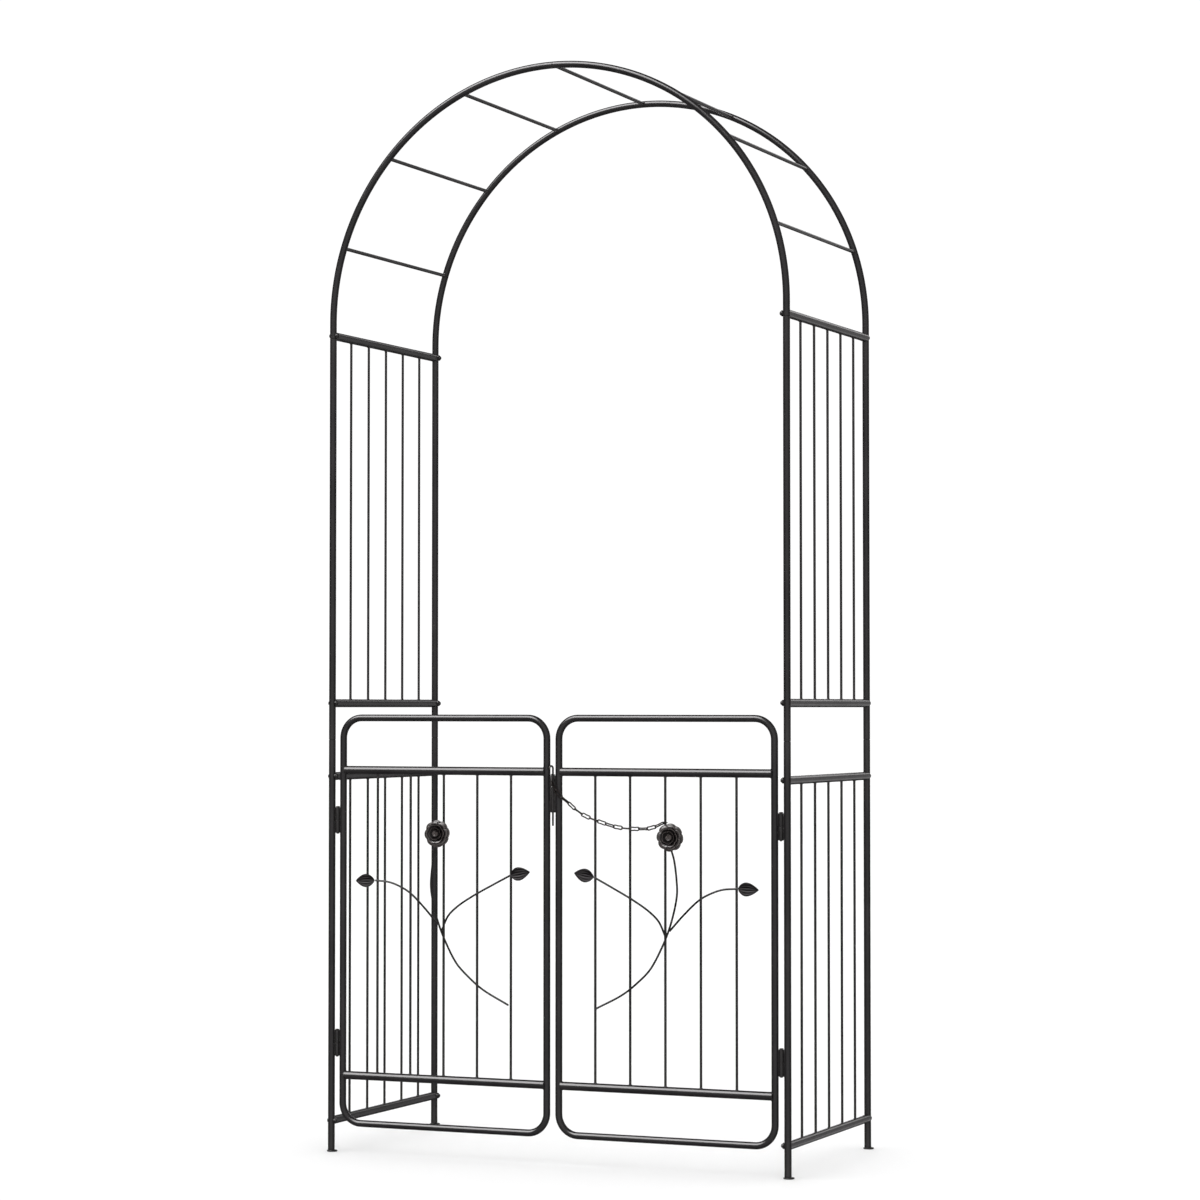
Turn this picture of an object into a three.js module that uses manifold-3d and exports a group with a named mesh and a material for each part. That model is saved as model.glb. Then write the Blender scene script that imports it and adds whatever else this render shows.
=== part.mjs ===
import * as THREE from 'three';
import { mergeVertices } from 'three/addons/utils/BufferGeometryUtils.js';
import Module from 'manifold-3d';

const wasm = await Module();
wasm.setup();

// Garden trellis arch with a pair of low gates.
// Millimetres, +Z up. +X runs across the arch, -Y is the front, where the gates hang.
// The origin is on the ground, midway between the four posts.

// ---------- overall sizes ----------
const SPAN = 1064;            // left post to right post, centre to centre
const DEPTH = 506;            // front post to rear post, centre to centre
const SPRING_Z = 1818;        // height where the hoops start to curve
const GAP = 0.3;              // clearance left wherever one piece touches another

// ---------- tubes, rails and rods ----------
const TUBE_R = 7.5;           // posts, hoops and gate frames
const TUBE_BORE_R = 6.3;
const RAIL_EXTRA = 1.5;       // side rails and gate bars are this much larger in radius than the tubes they saddle
const ROD_R = 2.5;            // upright rods
const CROSSBAR_R = 4;
const STEM_R = 2;

// ---------- posts ----------
const POST_JOINT_Z = 900;     // lower and upper post meet here
const HOOP_LEG = 34;          // straight leg of each hoop, below the curve
const SPIGOT_LEN = 22;        // narrowed post end that plugs into the next tube
const SPIGOT_R = 5.8;
const SPIGOT_BORE_R = 4.7;
const SPIGOT_SHOULDER = 8;    // length of the taper down to the spigot

// ---------- feet ----------
const FOOT_R = 11.5;
const FOOT_T = 3;
const FOOT_PLUG_LEN = 16;
const FOOT_OFFSET = 2;        // the base disc sits this far to the right of its post

// ---------- hoops ----------
const HOOP_STEP = 34;         // length of one facet along a hoop
const CROSSBAR_PITCH_DEG = 24;
const CROSSBARS_EACH_SIDE = 3;
const SLEEVE_HALF_ANGLE_DEG = 4;   // half the arc covered by the sleeve inside the crown
const SLEEVE_WALL = 1.2;

// ---------- side panels ----------
const SIDE_RAIL_Z = [67, 820, 980];   // foot, waist and chest rails
const TOP_RAIL_DROP = 28;     // top rail, below the start of the hoops' curve
const SIDE_RODS = 5;
const SADDLE_REACH = 3;       // how far a coped rail end runs past the centre of the post
const WASHER_R = 6.5;         // washer and dome nut on the passage side of each rail end
const WASHER_T = 1.6;
const NUT_R = 5;
const NUT_H = 4.4;

// ---------- gates ----------
const HINGE_STANDOFF = 1;     // between a hinge knuckle and the tubes on both sides of it
const MEETING_CLEAR = 13;     // open gap between the two meeting stiles
const GATE_BOTTOM_Z = 64;
const GATE_TOP_Z = 948;
const GATE_CORNER_R = 44;
const GATE_BAR_Z = [167.5, 834];
const GATE_RODS = 5;
const GATE_ROD_PITCH = 80.2;
const COPE_DEPTH = 4;         // a gate bar wraps its stile to this distance from the stile's centre

// ---------- hinges ----------
const HINGE_Z = [237, 724];
const HINGE_H = 56;
const KNUCKLE_R = 5.5;
const HINGE_PIN_R = 3;
const HINGE_PIN_HEAD_R = 4.3;
const HINGE_PIN_HEAD_H = 2.4;
const RUNNING_GAP = 0.08;     // radial clearance of a knuckle on its pin
const KNUCKLE_SPLIT = 0.6;    // gap between the two knuckles of a hinge
const LEAF_T = 3;

// ---------- latch ----------
const LATCH_BOTTOM_Z = 747;
const LATCH_TOP_Z = 826;
const LATCH_SPLIT_Z = 802;    // the left barrel ends here and the right knuckle starts
const LATCH_BARREL_R = 3.4;
const LATCH_PLATE_T = 2.5;
const LATCH_PLATE_CLEAR = 0.6; // between a latch plate and the other gate's barrel
const PIN_R = 2;
const PIN_CLEARANCE = 0.3;
const PIN_BOTTOM_Z = 718.5;
const PIN_HEAD_Z = 846;       // centre line at the top of the hooked head
const PIN_HOOK_SPAN = 9.8;    // between the pin and the end of its hooked head
const PIN_HOOK_DROP = 3.5;
const PIN_HOOK_TURN_DEG = 66; // the hook points forwards, clear of the gate frames

// ---------- chain ----------
const CHAIN_WIRE_R = 1;
const CHAIN_LINK_W = 7;       // outer width of a link
const CHAIN_LINK_L = 23;      // outer length of a link
const CHAIN_RING_R = 4.2;     // ring at each end of the chain, to the centre of its wire

// ---------- flower spray on each gate ----------
// distances across the gate are measured from its middle rod, away from the meeting line
const ROSE_X = 13;
const ROSE_Z = 700;
const ROSE_R = 28.3;
const ROSE_DEPTH = 19;
const LEAF_LEN = 46;
const LEAF_W = 29;
const LEAF_THICK = 1.6;
const LEAF_FOLD = 3.2;        // how far the leaf's edges stand forward of its midrib
const LEAF_BASE_INNER = [-162, 611.5];
const LEAF_BASE_OUTER = [165.5, 594];
const LEAF_TILT_INNER_DEG = 10;
const LEAF_TILT_OUTER_DEG = -2;
// centre lines in the plane of the gate: distance from the middle rod, height
const STEM_MAIN = [[16, ROSE_Z - ROSE_R - 0.8], [22, 650], [27.5, 608], [28.5, 582], [24, 553],
  [11, 507], [-7, 465], [-33, 420], [-60, 393], [-95, 366], [-157, 334]];
const STEM_OUTER = [[164, 594], [130, 591], [101, 581], [78, 568], [44, 537], [11.5, 502]];
const STEM_INNER = [[-160.5, 611], [-125, 593], [-70, 564], [-34, 541], [-13, 521], [3, 488]];

// ---------- sizes that follow from the ones above ----------
const HOOP_R = SPAN / 2;
const POST_TOP_Z = SPRING_Z - HOOP_LEG;      // upper post and hoop leg meet here
const TOP_RAIL_Z = SPRING_Z - TOP_RAIL_DROP;
const HINGE_AXIS = TUBE_R + HINGE_STANDOFF + KNUCKLE_R;   // hinge line, measured inwards from the post
const STILE_OFFSET = 2 * HINGE_AXIS;                      // gate stile, measured inwards from the post
const MEETING_GAP = 2 * TUBE_R + MEETING_CLEAR;           // meeting stiles, centre to centre
const LATCH_PLATE_EDGE = LATCH_BARREL_R + LATCH_PLATE_CLEAR;
const STILE_MEET_X = MEETING_GAP / 2;
const STILE_HINGE_X = HOOP_R - STILE_OFFSET;
const GATE_MIDDLE_X = (STILE_MEET_X + STILE_HINGE_X) / 2;
const RAIL_R = TUBE_R + RAIL_EXTRA;
const FRONT_Y = -DEPTH / 2;
const REAR_Y = DEPTH / 2;
const CROWN_Z = SPRING_Z + HOOP_R;
const ROSE_BACK = ROD_R + GAP;                         // back of the rose in front of the rods

// ---------- materials ----------
const blackCoat = new THREE.MeshStandardMaterial({ color: 0x2b2a2a, roughness: 0.42, metalness: 0.35 });
const darkSteel = new THREE.MeshStandardMaterial({ color: 0x35322f, roughness: 0.35, metalness: 0.8 });
const blackPlastic = new THREE.MeshStandardMaterial({ color: 0x1d1d1d, roughness: 0.6, metalness: 0 });

// ---------- solid helpers ----------
function closed(geometry) {
  const g = geometry.clone();
  g.deleteAttribute('normal');
  g.deleteAttribute('uv');
  return mergeVertices(g, 1e-4);
}

function toManifold(geometry) {
  const g = closed(geometry);
  return new wasm.Manifold(new wasm.Mesh({
    numProp: 3,
    vertProperties: new Float32Array(g.attributes.position.array),
    triVerts: new Uint32Array(g.index.array),
  }));
}

function toGeometry(manifold) {
  const mesh = manifold.getMesh();
  const g = new THREE.BufferGeometry();
  g.setAttribute('position', new THREE.BufferAttribute(new Float32Array(mesh.vertProperties), 3));
  g.setIndex(new THREE.BufferAttribute(new Uint32Array(mesh.triVerts), 1));
  return g;
}

function join(geometries) {
  let m = toManifold(geometries[0]);
  for (const g of geometries.slice(1)) m = m.add(toManifold(g));
  return toGeometry(m);
}

function cut(geometry, tools) {
  let m = toManifold(geometry);
  for (const t of tools) m = m.subtract(toManifold(t));
  return toGeometry(m);
}

function mesh(name, geometry, material = blackCoat) {
  const m = new THREE.Mesh(geometry, material);
  m.name = name;
  return m;
}

// Turned solid about +Z from a closed [radius, z] profile.
function turned(profile, sides = 16) {
  const points = profile.map(([r, z]) => new THREE.Vector2(r, z));
  return new THREE.LatheGeometry(points, sides).rotateX(Math.PI / 2);
}

// Solid bar from a to b.
function bar(a, b, radius, sides = 12) {
  const from = new THREE.Vector3(...a);
  const to = new THREE.Vector3(...b);
  const length = from.distanceTo(to);
  const g = new THREE.CylinderGeometry(radius, radius, length, sides);
  g.rotateY(Math.PI / sides);
  const turn = new THREE.Quaternion().setFromUnitVectors(
    new THREE.Vector3(0, 1, 0), to.clone().sub(from).normalize());
  g.applyQuaternion(turn);
  return g.translate(...from.add(to).multiplyScalar(0.5).toArray());
}

function block(width, depth, height, x, y, z) {
  return new THREE.BoxGeometry(width, depth, height).translate(x, y, z);
}

function circle(radius, sides) {
  const s = new THREE.Shape();
  for (let i = 0; i < sides; i++) {
    const a = (2 * Math.PI * i) / sides;
    if (i === 0) s.moveTo(radius * Math.cos(a), radius * Math.sin(a));
    else s.lineTo(radius * Math.cos(a), radius * Math.sin(a));
  }
  s.closePath();
  return s;
}

// Round section carried along a curve; boreRadius makes it a tube with open ends.
function swept(path, steps, radius, boreRadius = 0, sides = 14) {
  const section = circle(radius, sides);
  if (boreRadius > 0) section.holes.push(circle(boreRadius, sides));
  return new THREE.ExtrudeGeometry(section, { steps, extrudePath: path, bevelEnabled: false });
}

// Closed tube in the XZ plane with straight sides and round corners.
function loopTube(width, height, cornerRadius, tubeRadius, sides, perCorner) {
  const g = new THREE.TorusGeometry(cornerRadius, tubeRadius, sides, perCorner * 4);
  const half = Math.PI / (perCorner * 4);
  g.rotateZ(half);
  const dx = width / 2 - cornerRadius * Math.cos(half);
  const dy = height / 2 - cornerRadius * Math.cos(half);
  const p = g.attributes.position;
  for (let i = 0; i < p.count; i++) {
    const a = Math.atan2(p.getY(i), p.getX(i));
    p.setX(i, p.getX(i) + (Math.abs(a) < Math.PI / 2 ? dx : -dx));
    p.setY(i, p.getY(i) + (a > 0 ? dy : -dy));
  }
  return g.rotateX(Math.PI / 2);
}

class HoopPath extends THREE.Curve {
  // Straight leg, then a quarter turn up to the crown; side is -1 for left and 1 for right.
  constructor(side, y, legBottom) {
    super();
    this.side = side;
    this.y = y;
    this.leg = SPRING_Z - legBottom;
    this.arc = (HOOP_R * Math.PI) / 2 - GAP / 2;
  }
  getPoint(t, target = new THREE.Vector3()) {
    const s = t * (this.leg + this.arc);
    if (s <= this.leg) return target.set(this.side * HOOP_R, this.y, SPRING_Z - this.leg + s);
    const a = (s - this.leg) / HOOP_R;
    return target.set(this.side * HOOP_R * Math.cos(a), this.y, SPRING_Z + HOOP_R * Math.sin(a));
  }
}

class CrownArc extends THREE.Curve {
  constructor(y, halfAngle) {
    super();
    this.y = y;
    this.halfAngle = halfAngle;
  }
  getPoint(t, target = new THREE.Vector3()) {
    const a = (t * 2 - 1) * this.halfAngle;
    return target.set(HOOP_R * Math.sin(a), this.y, SPRING_Z + HOOP_R * Math.cos(a));
  }
}

// ---------- posts ----------
const corners = [
  ['fl', -1, FRONT_Y], ['fr', 1, FRONT_Y], ['rl', -1, REAR_Y], ['rr', 1, REAR_Y],
];

function postSection(bottom, top) {
  const spigotBase = top + SPIGOT_SHOULDER;
  const boreTop = top - SPIGOT_SHOULDER;
  return turned([
    [TUBE_BORE_R, bottom], [TUBE_R, bottom], [TUBE_R, top - GAP / 2], [SPIGOT_R, top + GAP / 2],
    [SPIGOT_R, spigotBase + SPIGOT_LEN], [SPIGOT_BORE_R, spigotBase + SPIGOT_LEN],
    [SPIGOT_BORE_R, top], [TUBE_BORE_R, boreTop], [TUBE_BORE_R, bottom],
  ]);
}

const arch = new THREE.Group();
arch.name = 'trellis_arch';

for (const [key, side, y] of corners) {
  const lower = mesh(`post_lower_${key}`, postSection(FOOT_T + GAP, POST_JOINT_Z));
  const upper = mesh(`post_upper_${key}`, postSection(POST_JOINT_Z + GAP, POST_TOP_Z));
  const plugR = TUBE_BORE_R - 2 * GAP;
  const foot = mesh(`foot_${key}`, join([
    turned([[0, 0], [FOOT_R - 1, 0], [FOOT_R, 1], [FOOT_R, FOOT_T], [0, FOOT_T]], 24)
      .translate(FOOT_OFFSET, 0, 0),
    turned([[0, FOOT_T / 2], [plugR, FOOT_T / 2], [plugR, FOOT_T + FOOT_PLUG_LEN - 1.5],
      [plugR - 1.5, FOOT_T + FOOT_PLUG_LEN], [0, FOOT_T + FOOT_PLUG_LEN]]),
  ]), blackPlastic);
  for (const piece of [lower, upper, foot]) piece.position.set(side * HOOP_R, y, 0);
  arch.add(lower, upper, foot);
}

// ---------- hoops ----------
for (const [row, y] of [['front', FRONT_Y], ['rear', REAR_Y]]) {
  for (const [key, side] of [['l', -1], ['r', 1]]) {
    const path = new HoopPath(side, y, POST_TOP_Z + GAP);
    const steps = Math.ceil(path.getLength() / HOOP_STEP);
    arch.add(mesh(`hoop_${row}_${key}`, swept(path, steps, TUBE_R, TUBE_BORE_R, 12)));
  }
  const sleeve = new CrownArc(y, THREE.MathUtils.degToRad(SLEEVE_HALF_ANGLE_DEG));
  const sleeveR = TUBE_BORE_R - 3 * GAP;
  arch.add(mesh(`hoop_sleeve_${row}`, swept(sleeve, 4, sleeveR, sleeveR - SLEEVE_WALL, 14), darkSteel));
}

for (let i = -CROSSBARS_EACH_SIDE; i <= CROSSBARS_EACH_SIDE; i++) {
  const a = THREE.MathUtils.degToRad(i * CROSSBAR_PITCH_DEG);
  const x = HOOP_R * Math.sin(a);
  const z = SPRING_Z + HOOP_R * Math.cos(a);
  const end = DEPTH / 2 - TUBE_R - GAP;
  arch.add(mesh(`crossbar_${i + CROSSBARS_EACH_SIDE + 1}`, bar([x, -end, z], [x, end, z], CROSSBAR_R, 10)));
}

// ---------- side panels ----------
// Washer and dome nut that clamp a rail end to the post at y = postY. The passage is on
// the side of the panel given by inwards, -1 or 1.
function domeNut(postY, z, inwards) {
  const seat = RAIL_R - 0.5;
  const face = RAIL_R + WASHER_T;
  const g = turned([[0, seat], [WASHER_R, seat], [WASHER_R, face], [NUT_R, face],
    [NUT_R, face + NUT_H * 0.45], [NUT_R * 0.75, face + NUT_H * 0.85], [0, face + NUT_H]], 10);
  return g.rotateY((inwards * Math.PI) / 2).translate(0, postY, z);
}

function sidePanel(bottomZ, topZ, inwards) {
  const parts = [];
  const nuts = [];
  const railEnd = DEPTH / 2 + SADDLE_REACH;
  for (const z of [bottomZ, topZ]) {
    parts.push(bar([0, -railEnd, z], [0, railEnd, z], RAIL_R, 18));
    nuts.push(domeNut(FRONT_Y, z, inwards), domeNut(REAR_Y, z, inwards));
  }
  for (let i = 1; i <= SIDE_RODS; i++) {
    const y = FRONT_Y + (DEPTH * i) / (SIDE_RODS + 1);
    parts.push(bar([0, y, bottomZ], [0, y, topZ], ROD_R, 8));
  }
  // The rail ends are coped to saddle the posts.
  const posts = [FRONT_Y, REAR_Y].map((y) => bar(
    [0, y, bottomZ - 2 * RAIL_R], [0, y, topZ + 2 * RAIL_R], TUBE_R + GAP, 20));
  return join([cut(join(parts), posts), ...nuts]);
}

for (const [key, side] of [['l', -1], ['r', 1]]) {
  const lower = mesh(`side_lower_${key}`, sidePanel(SIDE_RAIL_Z[0], SIDE_RAIL_Z[1], -side));
  const upper = mesh(`side_upper_${key}`, sidePanel(SIDE_RAIL_Z[2], TOP_RAIL_Z, -side));
  lower.position.x = side * HOOP_R;
  upper.position.x = side * HOOP_R;
  arch.add(lower, upper);
}

// ---------- hinges ----------
// Ring about the hinge line, with a bore that clears a pin of pinRadius all round.
function knuckle(outerRadius, boreRadius, bottom, top, sides = 20) {
  const r = boreRadius / Math.cos(Math.PI / sides);
  return turned([[r, bottom], [outerRadius, bottom], [outerRadius, top], [r, top], [r, bottom]], sides);
}

// The post half is below and the gate half above. towards is the side of the hinge line
// (-1 or 1) on which the half's tube stands.
function hingeHalf(bottom, top, towards, tubeDistance) {
  const bore = HINGE_PIN_R + RUNNING_GAP;
  const body = join([
    knuckle(KNUCKLE_R, bore, bottom, top),
    block(KNUCKLE_R + 3, LEAF_T, top - bottom, towards * (bore + 0.8 + (KNUCKLE_R + 3) / 2), 0, (bottom + top) / 2),
  ]);
  const tube = bar([towards * tubeDistance, 0, bottom - 1], [towards * tubeDistance, 0, top + 1], TUBE_R + GAP, 24);
  return cut(body, [tube]);
}

function hingePin(bottom, top) {
  return turned([
    [0, bottom], [HINGE_PIN_R - 0.6, bottom], [HINGE_PIN_R, bottom + 0.6], [HINGE_PIN_R, top],
    [HINGE_PIN_HEAD_R, top], [HINGE_PIN_HEAD_R, top + HINGE_PIN_HEAD_H - 0.8],
    [HINGE_PIN_HEAD_R - 0.8, top + HINGE_PIN_HEAD_H], [0, top + HINGE_PIN_HEAD_H],
  ], 16);
}

// ---------- flower spray ----------
function stemWire(points) {
  const curve = new THREE.CatmullRomCurve3(points.map(([x, z]) => new THREE.Vector3(x, 0, z)), false, 'centripetal');
  return swept(curve, points.length * 3, STEM_R, 0, 6);
}

function spray() {
  return join([stemWire(STEM_MAIN), stemWire(STEM_OUTER), stemWire(STEM_INNER)]);
}

// Pointed leaf along +X with its base at the origin, folded along its midrib.
function leaf() {
  const s = new THREE.Shape();
  const n = 10;
  const half = (t) => (LEAF_W / 2) * Math.sin(Math.PI * Math.pow(t, 0.8)) ** 0.85;
  s.moveTo(0, -1.2);
  for (let i = 1; i < n; i++) s.lineTo((LEAF_LEN * i) / n, -Math.max(half(i / n), 1.2));
  s.lineTo(LEAF_LEN, 0);
  for (let i = n - 1; i > 0; i--) s.lineTo((LEAF_LEN * i) / n, Math.max(half(i / n), 1.2));
  s.lineTo(0, 1.2);
  s.lineTo(0, 0);
  s.closePath();
  const g = new THREE.ExtrudeGeometry(s, { depth: LEAF_THICK, bevelEnabled: false });
  const p = g.attributes.position;
  for (let i = 0; i < p.count; i++) {
    const v = Math.abs(p.getY(i)) / (LEAF_W / 2);
    p.setZ(i, p.getZ(i) + LEAF_FOLD * v);
  }
  return g.rotateX(Math.PI / 2).translate(0, LEAF_THICK / 2, 0);
}

// Wavy disc that thickens towards the middle, facing -Y.
function petalRing(radius, wave, lobes, turn, back, front) {
  const s = new THREE.Shape();
  const n = lobes * 8;
  for (let i = 0; i < n; i++) {
    const a = (2 * Math.PI * i) / n;
    const r = radius - wave * (0.5 - 0.5 * Math.cos(lobes * a));
    const x = r * Math.cos(a + turn);
    const y = r * Math.sin(a + turn);
    if (i === 0) s.moveTo(x, y);
    else s.lineTo(x, y);
  }
  s.closePath();
  return new THREE.ExtrudeGeometry(s, { depth: front - back, bevelEnabled: false })
    .rotateX(Math.PI / 2).translate(0, -back, 0);
}

function rose() {
  const d = ROSE_DEPTH;
  return join([
    petalRing(ROSE_R, 2.4, 8, Math.PI / 2, 0, 0.36 * d),
    petalRing(0.72 * ROSE_R, 3, 5, 0.5, 0.3 * d, 0.66 * d),
    petalRing(0.46 * ROSE_R, 2, 5, 1.1, 0.6 * d, 0.86 * d),
    petalRing(0.25 * ROSE_R, 0.8, 4, 0.3, 0.8 * d, d),
  ]);
}

// ---------- gates ----------
// One gate, drawn for the right-hand side (+X); side -1 mirrors it.
function gate(key, side) {
  const g = new THREE.Group();
  const width = STILE_HINGE_X - STILE_MEET_X;
  const height = GATE_TOP_Z - GATE_BOTTOM_Z;
  const flip = (geometry) => (side > 0 ? geometry : mirrored(geometry));

  const frame = loopTube(width, height, GATE_CORNER_R, TUBE_R, 14, 6)
    .translate(GATE_MIDDLE_X, 0, (GATE_TOP_Z + GATE_BOTTOM_Z) / 2);
  g.add(mesh(`gate_frame_${key}`, flip(frame)));

  const gridParts = GATE_BAR_Z.map((z) => bar(
    [STILE_MEET_X + COPE_DEPTH, 0, z], [STILE_HINGE_X - COPE_DEPTH, 0, z], RAIL_R, 14));
  for (let i = 0; i < GATE_RODS; i++) {
    const x = GATE_MIDDLE_X + (i - (GATE_RODS - 1) / 2) * GATE_ROD_PITCH;
    gridParts.push(bar([x, 0, GATE_BAR_Z[0]], [x, 0, GATE_BAR_Z[1]], ROD_R, 8));
  }
  const stiles = [STILE_MEET_X, STILE_HINGE_X].map((x) => bar(
    [x, 0, GATE_BOTTOM_Z], [x, 0, GATE_TOP_Z], TUBE_R + GAP, 20));
  g.add(mesh(`gate_grid_${key}`, flip(cut(join(gridParts), stiles))));

  const forward = ROD_R + GAP + STEM_R;
  g.add(mesh(`stem_${key}`, flip(spray().translate(GATE_MIDDLE_X, -forward, 0))));
  g.add(mesh(`rose_${key}`, flip(rose().translate(GATE_MIDDLE_X + ROSE_X, -ROSE_BACK, ROSE_Z))));
  const inner = leaf().rotateY(THREE.MathUtils.degToRad(180 + LEAF_TILT_INNER_DEG))
    .translate(GATE_MIDDLE_X + LEAF_BASE_INNER[0], -forward, LEAF_BASE_INNER[1]);
  const outer = leaf().rotateY(THREE.MathUtils.degToRad(-LEAF_TILT_OUTER_DEG))
    .translate(GATE_MIDDLE_X + LEAF_BASE_OUTER[0], -forward, LEAF_BASE_OUTER[1]);
  g.add(mesh(`leaf_inner_${key}`, flip(inner)));
  g.add(mesh(`leaf_outer_${key}`, flip(outer)));
  g.position.y = FRONT_Y;
  return g;
}

// Mirror image across the YZ plane, with the faces turned back outwards.
function mirrored(geometry) {
  const g = closed(geometry);
  g.scale(-1, 1, 1);
  const index = g.index.array.slice();
  for (let i = 0; i < index.length; i += 3) [index[i], index[i + 1]] = [index[i + 1], index[i]];
  g.setIndex(new THREE.BufferAttribute(new Uint32Array(index), 1));
  return g;
}

for (const [key, side] of [['l', -1], ['r', 1]]) {
  arch.add(gate(key, side));
  HINGE_Z.forEach((z, i) => {
    const level = ['lower', 'upper'][i];
    const axisX = side * (HOOP_R - HINGE_AXIS);
    const bottom = z - HINGE_H / 2;
    const top = z + HINGE_H / 2;
    const postHalf = mesh(`hinge_post_${level}_${key}`,
      hingeHalf(bottom, z - KNUCKLE_SPLIT / 2, side, HINGE_AXIS));
    const gateHalf = mesh(`hinge_gate_${level}_${key}`,
      hingeHalf(z + KNUCKLE_SPLIT / 2, top, -side, STILE_OFFSET - HINGE_AXIS));
    const pin = mesh(`hinge_pin_${level}_${key}`, hingePin(bottom - 2, top + GAP), darkSteel);
    for (const piece of [postHalf, gateHalf, pin]) piece.position.set(axisX, FRONT_Y, 0);
    arch.add(postHalf, gateHalf, pin);
  });
}

// ---------- latch ----------
// Plate along the stile with a barrel on the meeting line, between barrelBottom and barrelTop.
function latchLeaf(side, barrelBottom, barrelTop) {
  const stile = MEETING_GAP / 2;
  const plate = block(stile - LATCH_PLATE_EDGE, LATCH_PLATE_T, LATCH_TOP_Z - LATCH_BOTTOM_Z,
    side * (stile + LATCH_PLATE_EDGE) / 2, 0, (LATCH_TOP_Z + LATCH_BOTTOM_Z) / 2);
  const bore = PIN_R + PIN_CLEARANCE;
  const web = block(LATCH_PLATE_EDGE - bore + 0.5, LATCH_PLATE_T, barrelTop - barrelBottom,
    side * (bore + 0.2 + (LATCH_PLATE_EDGE - bore + 0.5) / 2), 0, (barrelTop + barrelBottom) / 2);
  const body = join([plate, web, knuckle(LATCH_BARREL_R, bore, barrelBottom, barrelTop, 16)]);
  const tube = bar([side * stile, 0, LATCH_BOTTOM_Z - 1], [side * stile, 0, LATCH_TOP_Z + 1], TUBE_R + GAP, 24);
  return cut(body, [tube]);
}

const latchLeft = mesh('latch_leaf_l', latchLeaf(-1, LATCH_BOTTOM_Z, LATCH_SPLIT_Z - KNUCKLE_SPLIT / 2));
const latchRight = mesh('latch_leaf_r', latchLeaf(1, LATCH_SPLIT_Z + KNUCKLE_SPLIT / 2, LATCH_TOP_Z));

// Straight pin whose top is bent over into a small hook.
function latchPin() {
  const path = new THREE.CurvePath();
  const r = PIN_HOOK_SPAN / 2;
  const k = 0.5523 * r;
  const z = PIN_HEAD_Z - r;
  const v = (x, zz) => new THREE.Vector3(x, 0, zz);
  path.add(new THREE.LineCurve3(v(0, z - 4), v(0, z)));
  path.add(new THREE.CubicBezierCurve3(v(0, z), v(0, z + k), v(-r + k, z + r), v(-r, z + r)));
  path.add(new THREE.CubicBezierCurve3(v(-r, z + r), v(-r - k, z + r), v(-2 * r, z + k), v(-2 * r, z)));
  path.add(new THREE.LineCurve3(v(-2 * r, z), v(-2 * r, z - PIN_HOOK_DROP)));
  return join([swept(path, 22, PIN_R, 0, 8), bar([0, 0, PIN_BOTTOM_Z], [0, 0, z - 3], PIN_R, 8)])
    .rotateZ(THREE.MathUtils.degToRad(PIN_HOOK_TURN_DEG));
}

const pinMesh = mesh('latch_pin', latchPin(), darkSteel);
for (const piece of [latchLeft, latchRight, pinMesh]) piece.position.y = FRONT_Y;
arch.add(latchLeft, latchRight, pinMesh);

// ---------- chain ----------
// Link with its long axis from a to b, rolled about it by roll radians.
function link(a, b, roll) {
  const pitchVector = b.clone().sub(a);
  const wireR = CHAIN_WIRE_R;
  const endR = CHAIN_LINK_W / 2 - wireR;
  const g = loopTube(pitchVector.length() + 2 * wireR * 0.9, CHAIN_LINK_W - 2 * wireR, endR, wireR, 6, 2);
  g.rotateX(roll);
  g.applyQuaternion(new THREE.Quaternion().setFromUnitVectors(new THREE.Vector3(1, 0, 0), pitchVector.normalize()));
  return g.translate(...a.clone().add(b).multiplyScalar(0.5).toArray());
}

function ring(x, y, z) {
  return new THREE.TorusGeometry(CHAIN_RING_R, CHAIN_WIRE_R, 6, 16).translate(x, y, z);
}

function chain() {
  const ringZ = LATCH_TOP_Z + GAP + CHAIN_WIRE_R;
  const rodRingZ = ROSE_Z + ROSE_R + 1.5;
  const route = new THREE.CatmullRomCurve3([
    [0.8, -CHAIN_RING_R - 1.5, ringZ], [3.2, -13.6, 815], [8.5, -15, 800], [23, -14.5, 783], [43, -11.5, 767], [61, -9, 751],
    [83, -8, 739], [117, -7.5, 727.5], [152, -7.5, 718], [188, -7.5, 715], [209, -7.5, 715.5],
    [225, -7.5, 716], [241, -7.5, 721], [GATE_MIDDLE_X - 2, -CHAIN_RING_R - 0.4, rodRingZ],
  ].map((p) => new THREE.Vector3(...p)), false, 'centripetal');
  const pitch = CHAIN_LINK_L - 4 * CHAIN_WIRE_R;
  const count = Math.round(route.getLength() / pitch);
  const parts = [ring(0, 0, ringZ), ring(GATE_MIDDLE_X, 0, rodRingZ)];
  const points = route.getSpacedPoints(count);
  for (let i = 0; i < count; i++) parts.push(link(points[i], points[i + 1], i % 2 ? Math.PI / 2 : 0));
  return join(parts);
}

const chainMesh = mesh('chain', chain(), darkSteel);
chainMesh.position.y = FRONT_Y;
arch.add(chainMesh);

export default arch;
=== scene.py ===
import math

import bmesh
import bpy
from mathutils import Matrix, Vector, noise


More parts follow.
